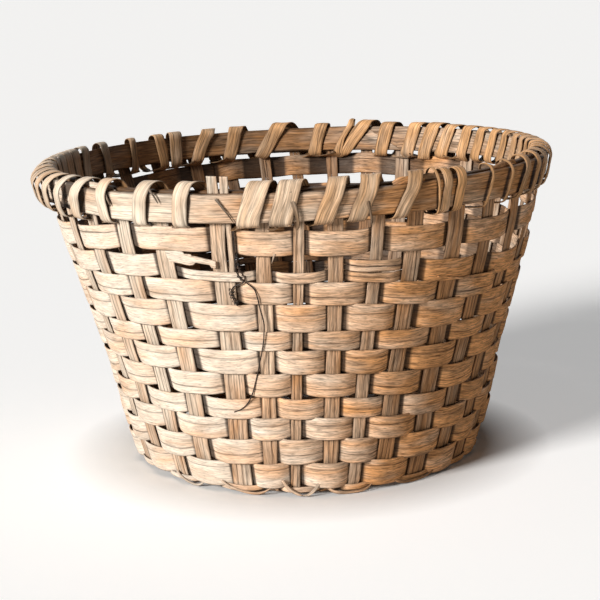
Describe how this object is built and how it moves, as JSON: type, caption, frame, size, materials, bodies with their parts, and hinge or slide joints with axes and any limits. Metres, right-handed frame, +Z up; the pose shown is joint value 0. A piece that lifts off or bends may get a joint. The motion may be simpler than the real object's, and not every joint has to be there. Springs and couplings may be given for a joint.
{
  "type": "cotton basket",
  "caption": "Old round splint basket for picked cotton: flared woven wall, flat plaited bottom, and a rim of two flat hoops wound with a splint lashing.",
  "frame": {"origin": "on the surface the basket stands on, under the middle of the bottom, at the underside of a bottom splint", "axes": "+Z up through the mouth; the bottom splints run along +X and +Y; the pictured side faces between +X and -Y, 46 degrees from +X towards -Y"},
  "size_m": [0.4884, 0.4885, 0.3004],
  "materials": {
    "stake_splint": "old split oak, weathered grey brown, rough",
    "weaver_splint": "old split oak, bleached tan, rough",
    "hoop_oak": "bent oak, worn smooth on the edges",
    "lashing_splint": "thin split oak, dry and frayed",
    "steel_wire": "dark rusted steel wire"
  },
  "bodies": {
    "root": {"stake_x_1": "stake_splint", "stake_x_2": "stake_splint", "stake_x_3": "stake_splint", "stake_x_4": "stake_splint", "stake_x_5": "stake_splint", "stake_x_6": "stake_splint", "stake_x_7": "stake_splint", "stake_x_8": "stake_splint", "stake_x_9": "stake_splint", "stake_y_1": "stake_splint", "stake_y_2": "stake_splint", "stake_y_3": "stake_splint", "stake_y_4": "stake_splint", "stake_y_5": "stake_splint", "stake_y_6": "stake_splint", "stake_y_7": "stake_splint", "stake_y_8": "stake_splint", "stake_y_9": "stake_splint", "weaver_row_01": "weaver_splint", "weaver_row_02": "weaver_splint", "weaver_row_03": "weaver_splint", "weaver_row_04": "weaver_splint", "weaver_row_05": "weaver_splint", "weaver_row_06": "weaver_splint", "weaver_row_07": "weaver_splint", "weaver_row_08": "weaver_splint", "weaver_row_09": "weaver_splint", "weaver_row_10": "weaver_splint", "weaver_row_11": "weaver_splint", "base_weaver": "weaver_splint", "rim_header_weaver": "weaver_splint", "rim_hoop_outer": "hoop_oak", "rim_hoop_inner": "hoop_oak", "lashing_1": "lashing_splint", "lashing_2": "lashing_splint", "lashing_3": "lashing_splint", "lashing_4": "lashing_splint", "wire_tie": "steel_wire", "wire_tail": "steel_wire"}
  },
  "joints": []
}
